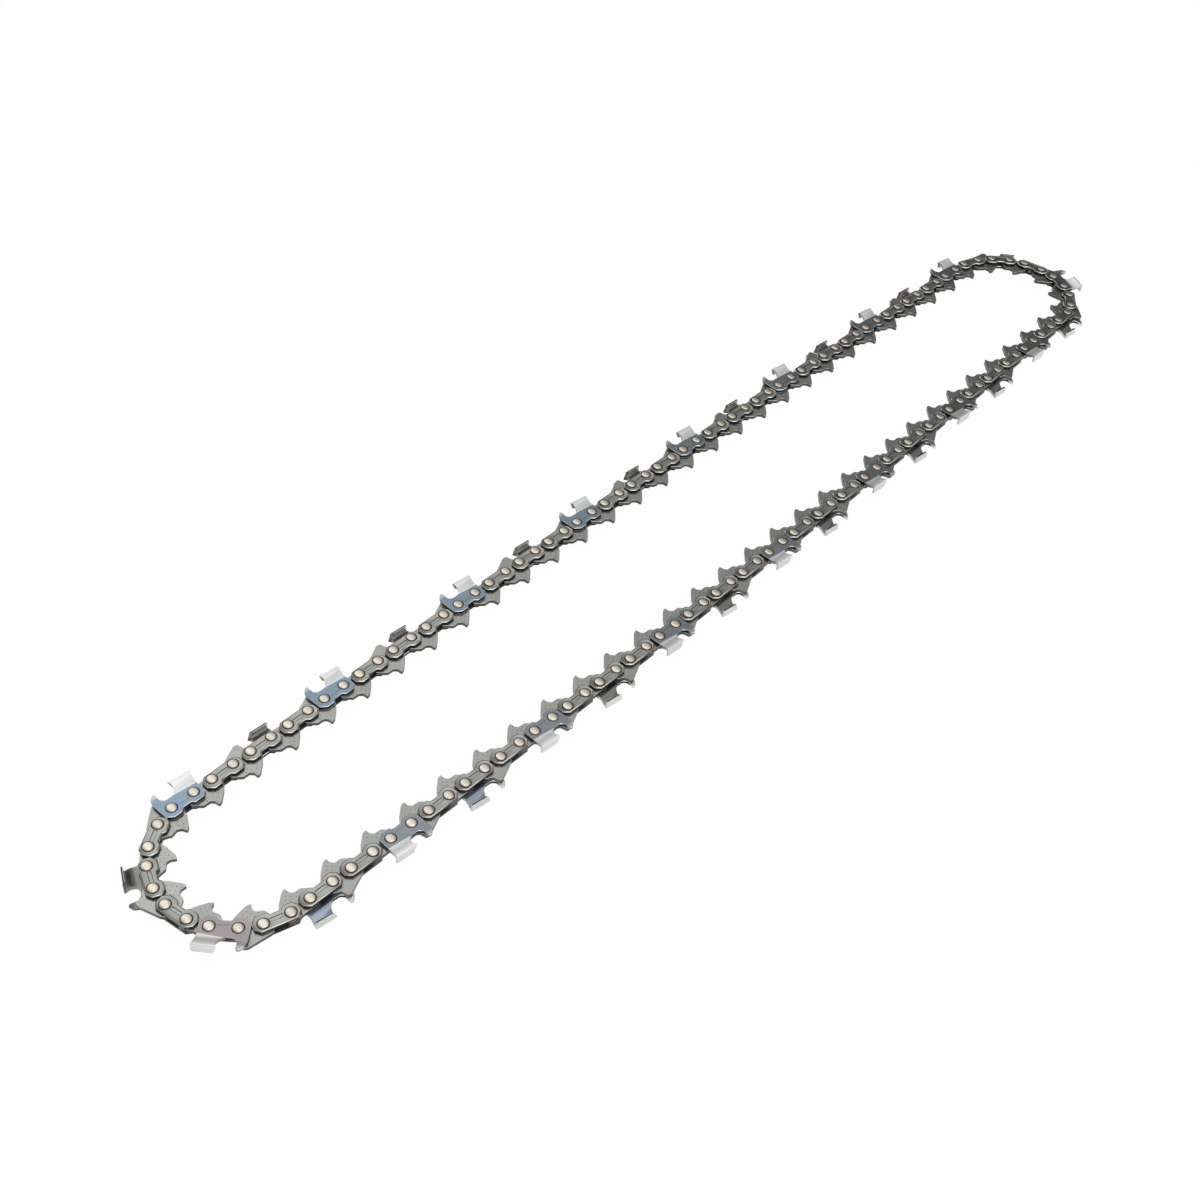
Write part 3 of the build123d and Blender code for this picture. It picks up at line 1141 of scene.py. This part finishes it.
def lay_out(stretch, kind, links):
    forms, finish, slot = kinds[kind]
    points = bpy.data.meshes.new(f"{stretch} {kind} places")
    points.from_pydata([(x, y, middle_height) for (x, y), _, _ in links], [], [])
    points.attributes.new("heading", "FLOAT", "POINT").data.foreach_set(
        "value", [heading for _, heading, _ in links])
    points.attributes.new("form", "INT", "POINT").data.foreach_set(
        "value", [form for _, _, form in links])
    points.attributes.new("temper", "FLOAT", "POINT").data.foreach_set(
        "value", [temper(kind, place, heading) for place, heading, _ in links])
    piece = bpy.data.objects.new(f"{stretch}.{kind}", points)
    bpy.context.scene.collection.objects.link(piece)
    modifier = piece.modifiers.new("layout", "NODES")
    modifier.node_group = layout
    modifier[sockets["Forms"]] = forms
    modifier[sockets["Finish"]] = finish
    modifier[sockets["Free turn"]] = 2 * pi if kind == "rivets" else 0.0
    modifier[sockets["Seed"]] = sorted(places).index((stretch, kind))
    bake_modifiers(piece)
    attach(piece, stretch)
    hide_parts(f"{stretch}_{kind}")
    return piece


pieces = [lay_out(stretch, kind, links) for (stretch, kind), links in places.items()]
print("faces:", sum(len(piece.data.polygons) for piece in pieces))

# %% [markdown]
# ## Floor, light and camera
# The chain lies on a plain white table, as for a catalogue page. To the camera and in reflections the
# table shines white almost by itself, so that only a trace of the soft shadows is left. All other light
# meets it as matt paint. A brighter lamp would whiten it too, but it would wash out the steel.

# %% Floor
floor_size = 40.0
floor_drop = 0.2 * MM
white_share = 0.97

bpy.ops.mesh.primitive_plane_add(size=floor_size, location=(0, 0, -floor_drop))
floor = bpy.context.object
floor.name = "table_top"
floor_finish = bpy.data.materials.new("white table")
floor_finish.use_nodes = True
tree = floor_finish.node_tree
shader = tree.nodes["Principled BSDF"]
shader.inputs["Base Color"].default_value = (0.93, 0.93, 0.93, 1)
shader.inputs["Roughness"].default_value = 0.9
shader.inputs["Specular IOR Level"].default_value = 0.1
ray = add(tree, "ShaderNodeLightPath").outputs
mirrored_ray = calculate(tree, "MAXIMUM", ray["Is Glossy Ray"], ray["Is Transmission Ray"])
seen = calculate(tree, "MAXIMUM", ray["Is Camera Ray"], mirrored_ray)
white = add(tree, "ShaderNodeEmission", {"Color": (1, 1, 1, 1), "Strength": 1.0})
paler = add(tree, "ShaderNodeMixShader", {
    0: times(tree, seen, white_share), 1: shader.outputs[0], 2: white.outputs[0]})
tree.links.new(paler.outputs[0], tree.nodes["Material Output"].inputs["Surface"])
floor.data.materials.append(floor_finish)
print("floor:", floor.name)

# %% [markdown]
# Flat steel shows what it mirrors, so the room matters more than any lamp. It has two walls. The one
# behind the chain is bright in its middle and dark to the right, and dimmer near the table. The one at
# the camera's side is bright on its left half, apart from a dim patch overhead to the left. That grades
# the steel along the loop, from pale at the near end to dark at the far one. Lamps alone would give each
# plate a hard glint instead.

# %% The room
horizon_from, horizon_to, horizon_level = 0.1, 0.4, 0.35
patch_left_from, patch_left_to = -0.1, -0.35
patch_back_from, patch_back_to = -0.5, -0.3
patch_shade = 0.55
back_until, front_from = 0.25, -0.1

world = bpy.data.worlds.new("studio")
bpy.context.scene.world = world
world.use_nodes = True
tree = world.node_tree
direction = add(tree, "ShaderNodeSeparateXYZ", {
    0: add(tree, "ShaderNodeTexCoord").outputs["Generated"]}).outputs
to_the_right = add(tree, "ShaderNodeMapRange", {
    "Value": direction["X"], "From Min": -1, "From Max": 1}).outputs["Result"]


def wall(*levels):
    """Brightness of a wall of the room from left to right, as stops of (direction, level)."""
    return ramp(tree, to_the_right, [
        ((sideways + 1) / 2, (level, level, level, 1)) for sideways, level in levels])


back_wall = wall(
    (-1.0, 0.5), (-0.55, 0.42), (-0.3, 0.25), (-0.05, 0.7), (0.1, 1.2), (0.3, 1.25),
    (0.47, 0.82), (0.55, 0.68), (0.66, 0.3), (0.76, 0.14), (0.85, 0.04))
front_wall = wall((-0.3, 1.12), (0.3, 1.12), (0.47, 0.75), (0.66, 0.46), (0.76, 0.34), (0.9, 0.25))
risen = times(tree, ease(tree, direction["Z"], horizon_from, horizon_to), 1 - horizon_level)
above_horizon = calculate(tree, "ADD", horizon_level, risen)
dim_back = blend(tree, 1.0, back_wall, above_horizon, "MULTIPLY")
overhead_left = times(tree, ease(tree, direction["X"], patch_left_from, patch_left_to),
                      ease(tree, direction["Y"], patch_back_from, patch_back_to))
dim_front = blend(tree, times(tree, overhead_left, patch_shade), front_wall, (0, 0, 0, 1))
at_front = ease(tree, direction["Y"], back_until, front_from)
room = blend(tree, at_front, dim_back, dim_front)
camera_ray = add(tree, "ShaderNodeLightPath").outputs["Is Camera Ray"]
backdrop = blend(tree, camera_ray, room, (1, 1, 1, 1))
tree.links.new(backdrop, tree.nodes["Background"].inputs["Color"])
print("room:", world.name)

# %% [markdown]
# One wide lamp above gives the shadows under the links their soft edge. A small lamp would draw them
# hard, and no lamp at all would leave the chain floating.

# %% A wide lamp for the shadows
lamp_data = bpy.data.lights.new("soft_lamp", "AREA")
lamp_data.shape = "SQUARE"
lamp_data.size = 1.2
lamp_data.energy = 3
lamp = bpy.data.objects.new("soft_lamp", lamp_data)
lamp.location = (-0.3, -0.5, 1.3)
lamp.rotation_euler = (-Vector(lamp.location)).to_track_quat("-Z", "Y").to_euler()
bpy.context.scene.collection.objects.link(lamp)
bpy.context.scene.view_settings.view_transform = "Standard"
print("lamp:", lamp.name)

# %% [markdown]
# The photograph looks down on the near end of the loop from the left. The lens, the height and the tilt
# follow from how the rivet spacing shrinks with distance. The camera was also held a little askew.

# %% Camera
FRAME_PIXELS = 1200
focal_pixels = 1577.3
camera_place = Vector((-0.4021, -0.2683, 0.4184))
looking = radians(38.37)
down = radians(44.1)
askew = radians(-5.073)

ahead = Vector((cos(looking) * cos(down), sin(looking) * cos(down), -sin(down)))
level_right = Vector((sin(looking), -cos(looking), 0))
level_up = level_right.cross(ahead)
right = cos(askew) * level_right - sin(askew) * level_up
up = sin(askew) * level_right + cos(askew) * level_up

camera_data = bpy.data.cameras.new("camera")
camera_data.sensor_width = 36
camera_data.lens = camera_data.sensor_width * focal_pixels / FRAME_PIXELS
camera = bpy.data.objects.new("camera", camera_data)
camera.matrix_world = Matrix.Translation(camera_place) @ Matrix(
    (right, up, -ahead)).transposed().to_4x4()
bpy.context.scene.collection.objects.link(camera)
bpy.context.scene.camera = camera
print(f"lens {camera_data.lens:.1f} mm")
